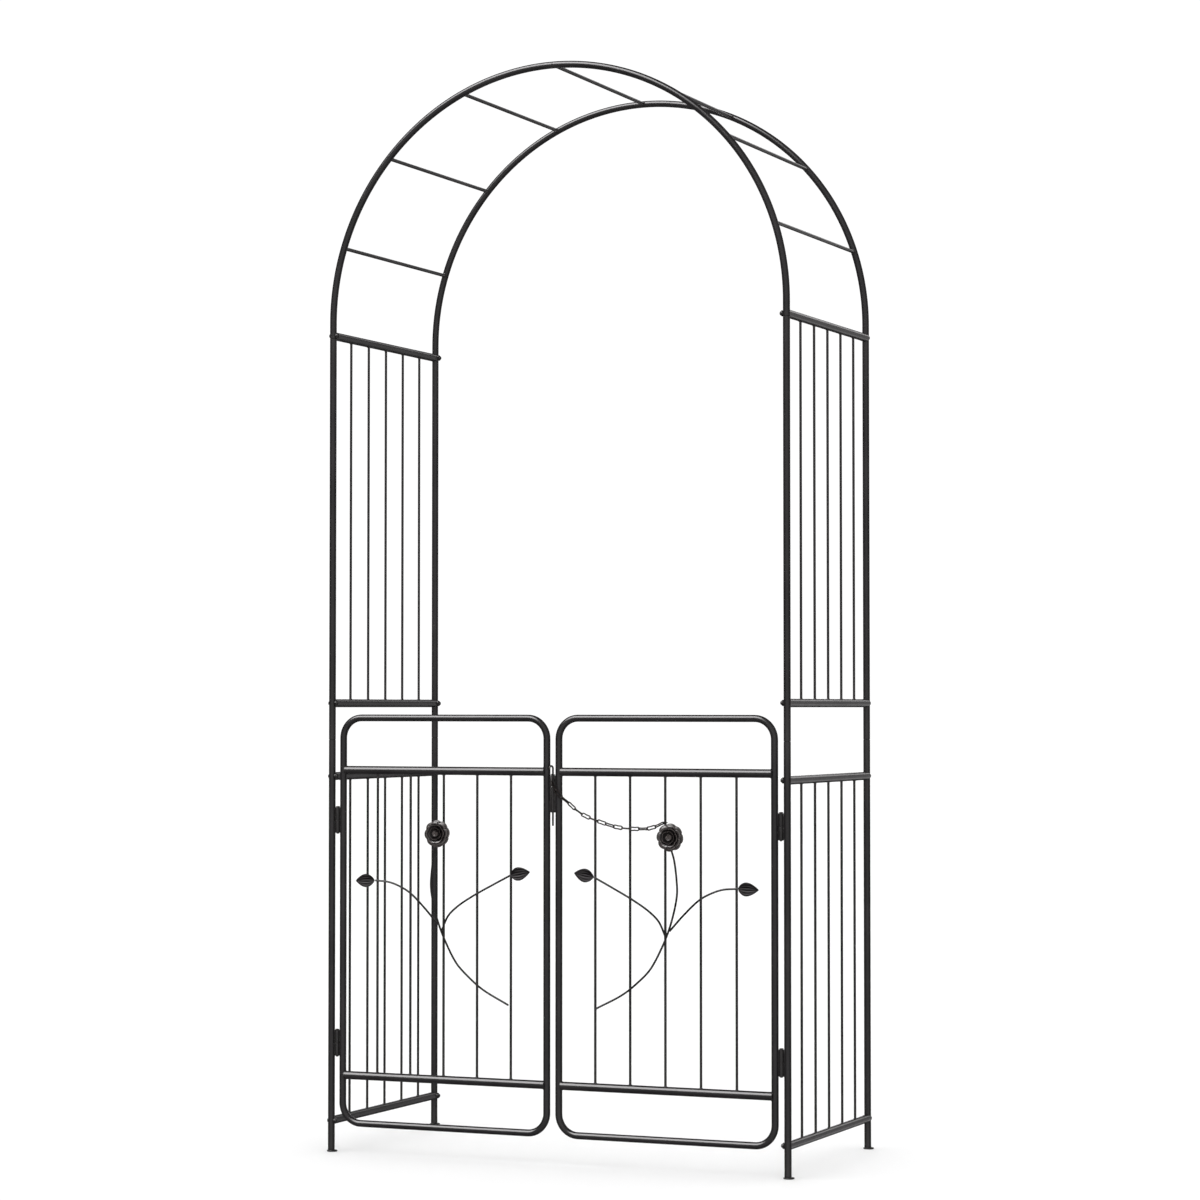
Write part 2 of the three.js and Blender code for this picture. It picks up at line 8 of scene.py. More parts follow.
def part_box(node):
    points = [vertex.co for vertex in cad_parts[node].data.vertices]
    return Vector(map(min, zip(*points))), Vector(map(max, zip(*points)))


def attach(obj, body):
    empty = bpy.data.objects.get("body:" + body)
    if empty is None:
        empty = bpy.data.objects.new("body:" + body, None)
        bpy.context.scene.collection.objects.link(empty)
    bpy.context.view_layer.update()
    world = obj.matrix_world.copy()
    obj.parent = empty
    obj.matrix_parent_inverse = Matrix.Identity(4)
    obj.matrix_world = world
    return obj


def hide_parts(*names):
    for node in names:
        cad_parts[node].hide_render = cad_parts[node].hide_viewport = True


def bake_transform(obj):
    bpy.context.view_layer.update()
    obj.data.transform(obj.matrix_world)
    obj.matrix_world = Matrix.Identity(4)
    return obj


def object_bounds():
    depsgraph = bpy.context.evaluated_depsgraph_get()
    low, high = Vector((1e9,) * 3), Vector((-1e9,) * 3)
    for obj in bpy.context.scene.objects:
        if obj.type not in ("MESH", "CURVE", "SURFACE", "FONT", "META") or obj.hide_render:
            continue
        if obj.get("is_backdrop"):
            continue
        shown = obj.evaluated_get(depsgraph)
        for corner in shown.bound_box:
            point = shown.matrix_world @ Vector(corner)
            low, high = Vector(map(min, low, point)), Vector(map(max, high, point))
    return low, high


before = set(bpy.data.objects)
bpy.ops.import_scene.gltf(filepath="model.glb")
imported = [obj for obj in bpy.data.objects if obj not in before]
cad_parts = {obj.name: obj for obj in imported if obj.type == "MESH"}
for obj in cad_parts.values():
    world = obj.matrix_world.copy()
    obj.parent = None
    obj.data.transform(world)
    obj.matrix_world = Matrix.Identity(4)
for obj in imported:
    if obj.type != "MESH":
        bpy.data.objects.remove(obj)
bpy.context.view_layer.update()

MM = 0.001
TAU = 2 * math.pi


# ---------------------------------------------------------------- sizes
def mid(node):
    lo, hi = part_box(node)
    return (lo + hi) / 2


POST_X = mid("post_lower_fr").x
FRONT_Y = mid("post_lower_fr").y
REAR_Y = mid("post_lower_rr").y
GATE_MIDDLE = abs(mid("gate_grid_r").x)
GAP = 0.3 * MM              # left between neighbours, as in the CAD
SPRING_Z = 1818 * MM        # height where the hoops start to curve
TUBE_R = 7.5 * MM           # posts, hoops and gate loops
RAIL_R = 9 * MM             # side rails and gate bars
CROSSBAR_R = 4 * MM
CROSSBARS = 7
SPIGOT_R = 5.8 * MM         # narrowed end of a tube, inside the next one
CORNER_R = 44 * MM          # corners of the gate loops
RODS = 5                    # in each side panel and each gate
GATE_ROD_PITCH = 80.2 * MM
ROD_R = 2.5 * MM
STEM_R = 2 * MM
ROD_DRAWN = 2.75 * MM       # rods and stems are drawn a little heavier than they are,
STEM_DRAWN = 2.15 * MM      # so that they don't fade at a distance
KNUCKLE_R = 5.5 * MM        # hinge barrel
BARREL_R = 3.4 * MM         # latch barrel
LATCH_PIN_R = 2 * MM
LATCH_SPLIT = 802 * MM      # height where the two latch barrels meet


# ---------------------------------------------------------------- mesh tools
def catmull(points, per=10):
    """Centripetal curve through the points."""
    p = [Vector(q) for q in points]
    p = [p[0] * 2 - p[1]] + p + [p[-1] * 2 - p[-2]]
    out = []
    for i in range(1, len(p) - 2):
        a, b, c, d = p[i - 1:i + 3]
        t0 = 0.0
        t1 = t0 + max((b - a).length ** 0.5, 1e-6)
        t2 = t1 + max((c - b).length ** 0.5, 1e-6)
        t3 = t2 + max((d - c).length ** 0.5, 1e-6)
        for k in range(per):
            t = t1 + (t2 - t1) * k / per
            a1 = a * ((t1 - t) / (t1 - t0)) + b * ((t - t0) / (t1 - t0))
            a2 = b * ((t2 - t) / (t2 - t1)) + c * ((t - t1) / (t2 - t1))
            a3 = c * ((t3 - t) / (t3 - t2)) + d * ((t - t2) / (t3 - t2))
            b1 = a1 * ((t2 - t) / (t2 - t0)) + a2 * ((t - t0) / (t2 - t0))
            b2 = a2 * ((t3 - t) / (t3 - t1)) + a3 * ((t - t1) / (t3 - t1))
            out.append(b1 * ((t2 - t) / (t2 - t1)) + b2 * ((t - t1) / (t2 - t1)))
    out.append(p[-2])
    return out


def resample(points, count):
    """Evenly spaced points along a polyline."""
    length = [0.0]
    for a, b in zip(points, points[1:]):
        length.append(length[-1] + (b - a).length)
    out, j = [], 0
    for i in range(count + 1):
        s = length[-1] * i / count
        while j < len(points) - 2 and length[j + 1] < s:
            j += 1
        f = (s - length[j]) / max(length[j + 1] - length[j], 1e-9)
        out.append(points[j].lerp(points[j + 1], min(max(f, 0), 1)))
    return out


class Build:
    """Collects vertices and faces for one object."""

    def __init__(self):
        self.v, self.f = [], []

    def rings(self, rings, closed=False):
        """Skin over rings of points, joined into a loop or capped at both ends."""
        n, base = len(rings[0]), len(self.v)
        for r in rings:
            self.v.extend(r)
        m = len(rings)
        for i in range(m if closed else m - 1):
            for j in range(n):
                k = (j + 1) % n
                a, b = base + i * n, base + ((i + 1) % m) * n
                self.f.append((a + j, a + k, b + k, b + j))
        if not closed:
            self.f.append(tuple(base + j for j in reversed(range(n))))
            self.f.append(tuple(base + (m - 1) * n + j for j in range(n)))

    def tube(self, points, radius, sides=28, closed=False, end=0.6 * MM):
        """Round tube along points; radius is one number or one for each point."""
        p = [Vector(q) for q in points]
        radii = radius if isinstance(radius, (list, tuple)) else [radius] * len(p)
        m = len(p)
        tang = []
        for i in range(m):
            a = p[i - 1] if (i > 0 or closed) else p[i]
            b = p[(i + 1) % m] if (i < m - 1 or closed) else p[i]
            tang.append((b - a).normalized())
        ref = Vector((0, 0, 1)) if abs(tang[0].z) < 0.9 else Vector((1, 0, 0))
        u = (ref - tang[0] * ref.dot(tang[0])).normalized()
        out = []
        for i in range(m):
            t = tang[i]
            u = (u - t * u.dot(t)).normalized()
            w = t.cross(u)
            r = radii[i]
            ring = [p[i] + (u * math.cos(TAU * k / sides) + w * math.sin(TAU * k / sides)) * r
                    for k in range(sides)]
            if not closed and end and i in (0, m - 1):
                # a softened lip at each end
                sign = 1 if i == 0 else -1
                lip = [p[i] + (q - p[i]) * (1 - end / r) for q in ring]
                body = [q + t * end * sign for q in ring]
                out.extend([lip, body] if i == 0 else [body, lip])
            else:
                out.append(ring)
        self.rings(out, closed)

    def lathe(self, profile, origin=(0, 0, 0), axis=(0, 0, 1), sides=32):
        """Turned solid; profile is (radius, height) pairs from bottom to top."""
        o, z = Vector(origin), Vector(axis).normalized()
        x = z.orthogonal().normalized()
        y = z.cross(x)
        self.rings([[o + z * h + (x * math.cos(TAU * k / sides) + y * math.sin(TAU * k / sides)) * r
                     for k in range(sides)] for r, h in profile])

    def hollow(self, profile, x, y, sides):
        """Turned barrel about an upright line, open through its middle."""
        self.rings([[Vector((x + r * math.cos(TAU * k / sides), y + r * math.sin(TAU * k / sides), z))
                     for k in range(sides)] for r, z in profile], closed=True)

    def plate(self, outline, thickness, matrix, bevel=0.35 * MM):
        """Flat plate with softened edges from a convex outline in its own XY plane."""
        n = len(outline)
        c = Vector((sum(q[0] for q in outline) / n, sum(q[1] for q in outline) / n))
        size = max((Vector(q[:2]) - c).length for q in outline)

        def ring(inset, z):
            s = 1 - inset / size
            return [matrix @ Vector((c.x + (q[0] - c.x) * s, c.y + (q[1] - c.y) * s, z))
                    for q in outline]

        h = thickness / 2
        self.rings([ring(bevel, -h), ring(bevel * 0.3, -h + bevel * 0.3), ring(0, -h + bevel),
                    ring(0, h - bevel), ring(bevel * 0.3, h - bevel * 0.3), ring(bevel, h)])

    def upright_plate(self, x0, x1, y, z0, z1, thickness, bevel=0.35 * MM):
        """Plate that faces the front, from x0 to x1 and z0 to z1, with y at its middle."""
        hx, hz = abs(x1 - x0) / 2, (z1 - z0) / 2
        place = Matrix.Translation(((x0 + x1) / 2, y, (z0 + z1) / 2)) @ Matrix.Rotation(math.pi / 2, 4, "X")
        self.plate([(-hx, -hz), (hx, -hz), (hx, hz), (-hx, hz)], thickness, place, bevel)

    def blob(self, centre, size, seed=0, sides=14):
        """Small uneven lump of weld."""
        rings = []
        for i in range(1, 8):
            a = math.pi * i / 8
            rings.append([])
            for k in range(sides):
                b = TAU * k / sides
                d = Vector((math.sin(a) * math.cos(b), math.sin(a) * math.sin(b), math.cos(a)))
                s = 1 + 0.22 * noise.noise(d * 1.8 + Vector((seed * 7.3, seed, 2.1)))
                offset = Vector((d.x * size[0], d.y * size[1], d.z * size[2]))
                rings[-1].append(Vector(centre) + offset * s)
        self.rings(rings)

    def bead(self, path, radius=1.0 * MM, seed=0, sides=8):
        """Rippled weld bead along a closed path."""
        radii = []
        for i, q in enumerate(path):
            grain = noise.noise(Vector(q) * 900 + Vector((seed, 0, 0)))
            radii.append(radius * (1 + 0.12 * math.sin(TAU * i / 3.0) + 0.25 * grain))
        self.tube(path, radii, sides, closed=True)


def rod_bead(b, centre, rail_axis, up, seed):
    """Bead where a rod along Z meets a rail along rail_axis."""
    c, t = Vector(centre), Vector(rail_axis)
    side = t.cross(Vector((0, 0, 1)))
    r = ROD_R + 0.4 * MM
    path = []
    for k in range(24):
        a = TAU * k / 24
        off = r * math.sin(a)
        path.append(c + t * (r * math.cos(a)) + side * off
                    + Vector((0, 0, up * math.sqrt(RAIL_R ** 2 - off ** 2))))
    b.bead(path, 0.9 * MM, seed)


def smooth(mesh, angle):
    """Smooth shading, with edges sharper than angle (in degrees) kept crisp."""
    bm = bmesh.new()
    bm.from_mesh(mesh)
    bmesh.ops.recalc_face_normals(bm, faces=bm.faces)
    for f in bm.faces:
        f.smooth = True
    for e in bm.edges:
        if len(e.link_faces) == 2 and e.calc_face_angle(0) > math.radians(angle):
            e.smooth = False
    bm.to_mesh(mesh)
    bm.free()


def piece(name, build, material, body, *nodes, slot, angle=38):
    """Object made from a Build; it rides on body and stands for the CAD nodes named."""
    mesh = bpy.data.meshes.new(name)
    mesh.from_pydata([tuple(v) for v in build.v], [], build.f)
    mesh.update()
    smooth(mesh, angle)
    obj = bpy.data.objects.new(name, mesh)
    bpy.context.scene.collection.objects.link(obj)
    mesh.materials.append(material)
    if body:
        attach(obj, body)
    if nodes:
        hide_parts(*nodes)
    return obj


# ---------------------------------------------------------------- materials
def new_material(name):
    m = bpy.data.materials.new(name)
    m.use_nodes = True
    nt = m.node_tree
    return m, nt, nt.nodes["Principled BSDF"]


def noise_node(nt, scale, detail=3, rough=0.5, stretch=None):
    """Noise in the object's own space, in features per metre."""
    tc = nt.nodes.new("ShaderNodeTexCoord")
    n = nt.nodes.new("ShaderNodeTexNoise")
    n.inputs["Scale"].default_value = scale
    n.inputs["Detail"].default_value = detail
    n.inputs["Roughness"].default_value = rough
    if stretch:
        mp = nt.nodes.new("ShaderNodeMapping")
        mp.inputs["Scale"].default_value = stretch
        nt.links.new(tc.outputs["Object"], mp.inputs["Vector"])
        nt.links.new(mp.outputs["Vector"], n.inputs["Vector"])
    else:
        nt.links.new(tc.outputs["Object"], n.inputs["Vector"])
    return n


def ramp(nt, source, *stops):
    """Colour between two stops, each a position and a colour."""
    r = nt.nodes.new("ShaderNodeValToRGB")
    for element, (position, colour) in zip(r.color_ramp.elements, stops):
        element.position, element.color = position, (*colour, 1)
    nt.links.new(source, r.inputs["Fac"])
    return r.outputs["Color"]


def map_range(nt, source, lo, hi, to_lo, to_hi):
    m = nt.nodes.new("ShaderNodeMapRange")
    m.inputs["From Min"].default_value = lo
    m.inputs["From Max"].default_value = hi
    m.inputs["To Min"].default_value = to_lo
    m.inputs["To Max"].default_value = to_hi
    nt.links.new(source, m.inputs["Value"])
    return m.outputs["Result"]


def math_node(nt, operation, a, b):
    n = nt.nodes.new("ShaderNodeMath")
    n.operation = operation
    for socket, value in zip(n.inputs, (a, b)):
        if isinstance(value, float):
            socket.default_value = value
        else:
            nt.links.new(value, socket)
    return n.outputs[0]


def bump(nt, bsdf, height, strength, distance, previous=None):
    b = nt.nodes.new("ShaderNodeBump")
    b.inputs["Strength"].default_value = strength
    b.inputs["Distance"].default_value = distance
    nt.links.new(height, b.inputs["Height"])
    if previous:
        nt.links.new(previous, b.inputs["Normal"])
    nt.links.new(b.outputs["Normal"], bsdf.inputs["Normal"])
    return b.outputs["Normal"]


def coated(name, dark, light, rough_lo, rough_hi, peel, wear_and_highlight=(0.055, 0.050, 0.048), chips=0.0, edge=0.35,
           cloud_scale=9, spec=0.5):
    """Powder coat: fine orange peel, a cloudy sheen, paler edges that are partly worn paint and partly a painted
    highlight, and rare small chips.

    dark and light are the cloud's colours, wear is the pale colour under it, laid on the chips and the edges,
    where it is partly worn paint and partly a painted highlight; peel the depth of the orange peel, chips how
    many specks show, and edge how strongly the edges are painted paler.
    """
    m, nt, bsdf = new_material(name)
    cloud = noise_node(nt, cloud_scale, 4)
    base = ramp(nt, cloud.outputs["Fac"], (0.35, dark), (0.68, light))
    specks = noise_node(nt, 520, 2, 0.6)
    patch = noise_node(nt, 26, 3)
    speckle = math_node(nt, "MULTIPLY", specks.outputs["Fac"], patch.outputs["Fac"])
    chipped = map_range(nt, speckle, 0.425 - chips, 0.470 - chips, 0, 0.8)
    geo = nt.nodes.new("ShaderNodeNewGeometry")
    # edges picked out by pointiness are painted in the pale colour: partly worn paint, partly a painted highlight
    # on rims and ridges
    worn_and_highlit_edges = map_range(nt, geo.outputs["Pointiness"], 0.515, 0.60, 0, edge)
    mix = nt.nodes.new("ShaderNodeMix")
    mix.data_type = "RGBA"
    nt.links.new(math_node(nt, "MAXIMUM", chipped, worn_and_highlit_edges), mix.inputs["Factor"])
    nt.links.new(base, mix.inputs["A"])
    mix.inputs["B"].default_value = (*wear_and_highlight, 1)
    nt.links.new(mix.outputs["Result"], bsdf.inputs["Base Color"])
    sheen = map_range(nt, patch.outputs["Fac"], 0.3, 0.7, rough_lo, rough_hi)
    nt.links.new(sheen, bsdf.inputs["Roughness"])
    bsdf.inputs["Specular IOR Level"].default_value = spec
    peel_noise = noise_node(nt, 620, 2)
    first = bump(nt, bsdf, peel_noise.outputs["Fac"], peel, 0.0004)
    grit = noise_node(nt, 2600, 1)
    bump(nt, bsdf, grit.outputs["Fac"], peel * 0.6, 0.00012, first)
    return m


def metal(name, dark, light, rough_lo, rough_hi, stretch, metallic):
    """Bare or thinly blackened steel with drawn lines and uneven tarnish."""
    m, nt, bsdf = new_material(name)
    cloud = noise_node(nt, 60, 5, 0.6)
    tarnish = ramp(nt, cloud.outputs["Fac"], (0.36, dark), (0.66, light))
    nt.links.new(tarnish, bsdf.inputs["Base Color"])
    bsdf.inputs["Metallic"].default_value = metallic
    lines = noise_node(nt, 900, 2, 0.5, stretch)
    sheen = map_range(nt, lines.outputs["Fac"], 0.3, 0.7, rough_lo, rough_hi)
    nt.links.new(sheen, bsdf.inputs["Roughness"])
    bump(nt, bsdf, lines.outputs["Fac"], 0.15, 0.0002)
    return m


COAT = coated("black_powder_coat", (0.0090, 0.0082, 0.0087), (0.0165, 0.0150, 0.0158),
              0.17, 0.25, peel=0.035)
# the rose's bright pale edge colour is mostly a painted highlight on its petal rims, with some worn paint
CAST = coated("black_cast_coat", (0.0052, 0.0045, 0.0045), (0.0125, 0.0106, 0.0103),
              0.19, 0.32, peel=0.12, wear_and_highlight=(0.170, 0.146, 0.139), chips=0.02, edge=0.80, cloud_scale=40)
# the paler colour on the leaf's ribs and rim is a painted highlight
LEAF = coated("black_leaf_coat", (0.0028, 0.0020, 0.0024), (0.0075, 0.0052, 0.0062),
              0.27, 0.38, peel=0.15, wear_and_highlight=(0.070, 0.050, 0.056), edge=0.22, cloud_scale=40, spec=0.12)
STEM = coated("black_stem_coat", (0.0046, 0.0040, 0.0040), (0.0105, 0.0092, 0.0090),
              0.22, 0.34, peel=0.10, edge=0.15, cloud_scale=40, spec=0.4)
FITTING = coated("black_fitting_coat", (0.0060, 0.0056, 0.0058), (0.0120, 0.0110, 0.0114),
                 0.22, 0.32, peel=0.06)
WELD = coated("black_weld_coat", (0.0070, 0.0064, 0.0066), (0.0120, 0.0108, 0.0112),
              0.26, 0.38, peel=0.15)
PLASTIC = coated("black_foot_plastic", (0.0060, 0.0060, 0.0062), (0.0110, 0.0110, 0.0112),
                 0.42, 0.55, peel=0.12)
PIN = metal("dark_pin_steel", (0.026, 0.024, 0.023), (0.075, 0.068, 0.062), 0.20, 0.36, (1, 1, 0.05), 0.9)
CHAIN = metal("chain_steel", (0.005, 0.0034, 0.0028), (0.022, 0.0145, 0.0115), 0.24, 0.42, (1, 1, 1), 0.45)

# ---------------------------------------------------------------- posts and feet
CORNERS = {"fl": (-POST_X, FRONT_Y), "fr": (POST_X, FRONT_Y),
           "rl": (-POST_X, REAR_Y), "rr": (POST_X, REAR_Y)}
SIDES = (("l", -1), ("r", 1))


def straight(x, y, z0, z1, steps=10):
    """Upright line of points."""
    return [Vector((x, y, z0 + (z1 - z0) * i / steps)) for i in range(steps + 1)]


# Narrowed end of a tube, measured from the joint: it fills the joint to the next length.
SPIGOT = [(SPIGOT_R - 0.6 * MM, -8 * MM), (SPIGOT_R, -7 * MM), (SPIGOT_R, 28 * MM), (4.7 * MM, 30 * MM)]

for key, (x, y) in CORNERS.items():
    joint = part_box(f"post_upper_{key}")[0].z
    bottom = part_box(f"post_lower_{key}")[0].z
    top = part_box("hoop_front_r")[0].z - GAP

    b = Build()
    b.tube(straight(x, y, bottom, joint - GAP), TUBE_R, 32)
    b.lathe(SPIGOT, (x, y, joint), sides=24)
    piece(f"lower_post_{key}", b, COAT, "arch", f"post_lower_{key}", slot="black_coat")

    b = Build()
    b.tube(straight(x, y, joint, top), TUBE_R, 32)
    b.lathe(SPIGOT, (x, y, top), sides=24)
    piece(f"upper_post_{key}", b, COAT, "arch", f"post_upper_{key}", slot="black_coat")

    lo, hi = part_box(f"foot_{key}")
    cx, r = (lo.x + hi.x) / 2, (hi.x - lo.x) / 2
    b = Build()
    b.lathe([(r - 1.2 * MM, 0), (r - 0.3 * MM, 0.3 * MM), (r, 1.0 * MM), (r, 2.1 * MM),
             (r - 0.3 * MM, 2.7 * MM), (r - 1.0 * MM, 3.0 * MM), (TUBE_R + 1.8 * MM, 3.1 * MM),
             (TUBE_R - 0.2 * MM, 3.2 * MM)], (cx, y, 0), sides=40)
    # plug inside the post
    b.lathe([(5.4 * MM, 3 * MM), (5.4 * MM, 18 * MM), (4 * MM, 19 * MM)], (x, y, 0), sides=24)
    piece(f"foot_pad_{key}", b, PLASTIC, "arch", f"foot_{key}", slot="foot_plastic")

# ---------------------------------------------------------------- hoops and crossbars
HOOP_R = POST_X
HOOP_STEPS = 84
for row, y in (("front", FRONT_Y), ("rear", REAR_Y)):
    for key, side in SIDES:
        z0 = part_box(f"hoop_{row}_{key}")[0].z
        path = [Vector((side * HOOP_R, y, z0 + (SPRING_Z - z0) * i / 3)) for i in range(3)]
        for i in range(HOOP_STEPS + 1):
            a = (math.pi / 2 - GAP / 2 / HOOP_R) * i / HOOP_STEPS
            path.append(Vector((side * HOOP_R * math.cos(a), y, SPRING_Z + HOOP_R * math.sin(a))))
        b = Build()
        b.tube(path, TUBE_R, 32, end=0.4 * MM)
        piece(f"hoop_half_{row}_{key}", b, COAT, "arch", f"hoop_{row}_{key}", slot="black_coat")
    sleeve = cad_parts[f"hoop_sleeve_{row}"].data
    sleeve.materials.clear()
    sleeve.materials.append(PIN)


def hoop_seat(c, end, radius, hoop_r, sides):
    """Points round a crossbar's end, where it is shaped to the hoop tube."""
    outwards = (c - Vector((0, c.y, SPRING_Z))).normalized()
    along = outwards.cross(Vector((0, 1, 0)))
    out = []
    for k in range(sides):
        a = TAU * k / sides
        off = radius * math.sin(a)
        y = (FRONT_Y if end < 0 else REAR_Y) - end * math.sqrt(hoop_r ** 2 - off ** 2)
        out.append(Vector((c.x, y, c.z)) + along * (radius * math.cos(a)) + outwards * off)
    return out


for i in range(1, CROSSBARS + 1):
    c = mid(f"crossbar_{i}")
    b, w = Build(), Build()
    front, rear = (hoop_seat(c, end, CROSSBAR_R, TUBE_R + 0.1 * MM, 24) for end in (-1, 1))
    b.rings([front, *([p.lerp(q, f) for p, q in zip(front, rear)] for f in (0.02, 0.25, 0.5, 0.75, 0.98)),
             rear])
    for end in (-1, 1):
        w.bead(hoop_seat(c, end, CROSSBAR_R + 0.35 * MM, TUBE_R, 28), 0.9 * MM, seed=i + end)
    piece(f"hoop_crossbar_{i}", b, COAT, "arch", f"crossbar_{i}", slot="black_coat")
    piece(f"crossbar_welds_{i}", w, WELD, "arch", slot="black_coat")


# ---------------------------------------------------------------- side panels
SADDLE = 3 * MM             # how far a rail end runs past the middle of its post
RAIL_STEPS = 14


def rail(b, x, z):
    """Rail along Y whose ends are coped round the posts, with pointed tongues on both sides."""
    sides, hole = 48, TUBE_R + GAP
    ends = {}
    for s in (-1, 1):
        ring = []
        for k in range(sides):
            a = TAU * k / sides
            off = RAIL_R * math.cos(a)
            # the tongue runs on past the middle of the post
            t = min(max((abs(off) - hole) / (RAIL_R - hole), 0), 1)
            reach = math.sqrt(max(hole ** 2 - off ** 2, 0)) if t == 0 else -SADDLE * (1 - (1 - t) ** 2)
            ring.append(Vector((x + off, s * (REAR_Y - reach), z + RAIL_R * math.sin(a))))
        inner = [Vector((x + (q.x - x) * 0.87, q.y - s * 0.25 * MM, z + (q.z - z) * 0.87)) for q in ring]
        flat = [Vector((q.x, s * (REAR_Y - TUBE_R - 3 * MM), q.z)) for q in ring]
        ends[s] = inner, ring, flat
    middle = [[q.lerp(w, f / RAIL_STEPS) for q, w in zip(ends[-1][2], ends[1][2])]
              for f in range(RAIL_STEPS + 1)]
    b.rings([ends[-1][0], ends[-1][1], *middle, ends[1][1], ends[1][0]])


def bolt(b, x, post_y, z, inwards):
    """Washer, hexagon and dome on the passage side of a rail end."""
    seat = Vector((x + inwards * (RAIL_R - 0.4 * MM), post_y, z))
    face = seat + Vector((inwards * 1.9 * MM, 0, 0))
    washer = ((3, 0), (6.3, 0), (6.5, 0.25), (6.5, 1.6), (6.2, 1.95), (4.6, 2.0))
    hexagon = ((4.9, 0), (5.0, 0.2), (5.0, 1.7), (4.8, 2.0))
    dome = ((4.2, 1.8), (4.2, 2.2), (3.9, 3.0), (3.1, 3.7), (1.9, 4.1), (0.3, 4.25))
    for profile, place, sides in ((washer, seat, 36), (hexagon, face, 6), (dome, face, 28)):
        b.lathe([(r * MM, h * MM) for r, h in profile], place, (inwards, 0, 0), sides)


for key, side in SIDES:
    for level in ("lower", "upper"):
        node = f"side_{level}_{key}"
        lo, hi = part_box(node)
        x = side * POST_X
        zs = (lo.z + RAIL_R, hi.z - RAIL_R)
        b, w, f = Build(), Build(), Build()
        for z in zs:
            rail(b, x, z)
            for y in (FRONT_Y, REAR_Y):
                bolt(f, x, y, z, -side)
        for i in range(1, RODS + 1):
            y = FRONT_Y + (REAR_Y - FRONT_Y) * i / (RODS + 1)
            b.tube(straight(x, y, zs[0], zs[1], 14), ROD_DRAWN, 16, end=0)
            rod_bead(w, (x, y, zs[0]), (0, 1, 0), 1, seed=i)
            rod_bead(w, (x, y, zs[1]), (0, 1, 0), -1, seed=i + 9)
        piece(f"panel_{level}_{key}", b, COAT, "arch", node, slot="black_coat")
        piece(f"panel_welds_{level}_{key}", w, WELD, "arch", slot="black_coat")
        piece(f"panel_bolts_{level}_{key}", f, FITTING, "arch", slot="dark_steel")

# ---------------------------------------------------------------- gates
BODY = {"l": "gate_left", "r": "gate_right"}
STILES = (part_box("gate_frame_r")[0].x + TUBE_R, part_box("gate_frame_r")[1].x - TUBE_R)
BAR_Z = (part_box("gate_grid_r")[0].z + RAIL_R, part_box("gate_grid_r")[1].z - RAIL_R)


def gate_loop(side):
    """Centre line of a gate's frame."""
    lo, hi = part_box("gate_frame_r")
    x0, x1 = STILES
    z0, z1 = lo.z + TUBE_R, hi.z - TUBE_R
    r = CORNER_R
    path = []
    for cx, cz, start in ((x1 - r, z1 - r, 0), (x0 + r, z1 - r, 90),
                          (x0 + r, z0 + r, 180), (x1 - r, z0 + r, 270)):
        for k in range(15):
            a = math.radians(start + 90 * k / 14)
            path.append(Vector((cx + r * math.cos(a), 0, cz + r * math.sin(a))))
    out = []
    for i, p in enumerate(path):
        q = path[(i + 1) % len(path)]
        out.append(p)
        if (q - p).length > 0.05:
            out.extend(p.lerp(q, k / 12) for k in range(1, 12))
    return [Vector((side * p.x, FRONT_Y, p.z)) for p in out]


def gate_rod_x(side, i):
    return side * (GATE_MIDDLE + (i - RODS // 2) * GATE_ROD_PITCH)


for key, side in SIDES:
    body = BODY[key]
    b = Build()
    b.tube(gate_loop(side), TUBE_R, 32, closed=True)
    piece(f"gate_loop_{key}", b, COAT, body, f"gate_frame_{key}", slot="black_coat")

    b, w = Build(), Build()
    for z in BAR_Z:
        sides, ends, beads = 36, [], []
        for stile, s in ((STILES[0], 1), (STILES[1], -1)):
            ring, path = [], []
            for k in range(sides):
                a = TAU * k / sides
                y, dz = RAIL_R * math.cos(a), RAIL_R * math.sin(a)
                reach = max(math.sqrt(max((TUBE_R + 0.15 * MM) ** 2 - y ** 2, 0)), 4 * MM)
                ring.append(Vector((side * (stile + s * reach), FRONT_Y + y, z + dz)))
                edge = max(math.sqrt(max(TUBE_R ** 2 - y ** 2, 0)), 4.4 * MM)
                path.append(Vector((side * (stile + s * (edge + 0.3 * MM)), FRONT_Y + y * 0.985, z + dz)))
            ends.append(ring)
            beads.append(path)
        middle = [[q.lerp(v, f) for q, v in zip(*ends)] for f in (0.01, 0.2, 0.4, 0.6, 0.8, 0.99)]
        b.rings([ends[0], *middle, ends[1]])
        for i, path in enumerate(beads):
            w.bead(path, 1.0 * MM, seed=i + z)
    for i in range(RODS):
        x = gate_rod_x(side, i)
        b.tube(straight(x, FRONT_Y, BAR_Z[0], BAR_Z[1], 14), ROD_DRAWN, 16, end=0)
        rod_bead(w, (x, FRONT_Y, BAR_Z[0]), (1, 0, 0), 1, seed=i + 30)
        rod_bead(w, (x, FRONT_Y, BAR_Z[1]), (1, 0, 0), -1, seed=i + 40)
    piece(f"gate_bars_{key}", b, COAT, body, f"gate_grid_{key}", slot="black_coat")
    piece(f"gate_welds_{key}", w, WELD, body, slot="black_coat")

# ---------------------------------------------------------------- hinges
def weld_run(w, x, sway, y, z0, z1, steps, radius, thick_wave, seed):
    """Upright weld run that wanders by the points of sway."""
    path = [Vector((x + sway(k), y, z0 + (z1 - z0) * k / steps)) for k in range(steps + 1)]
    radii = [radius * (0.95 + 0.08 * math.sin(k * thick_wave + seed)) for k in range(steps + 1)]
    w.tube(path, radii, 8, end=0.3 * MM)


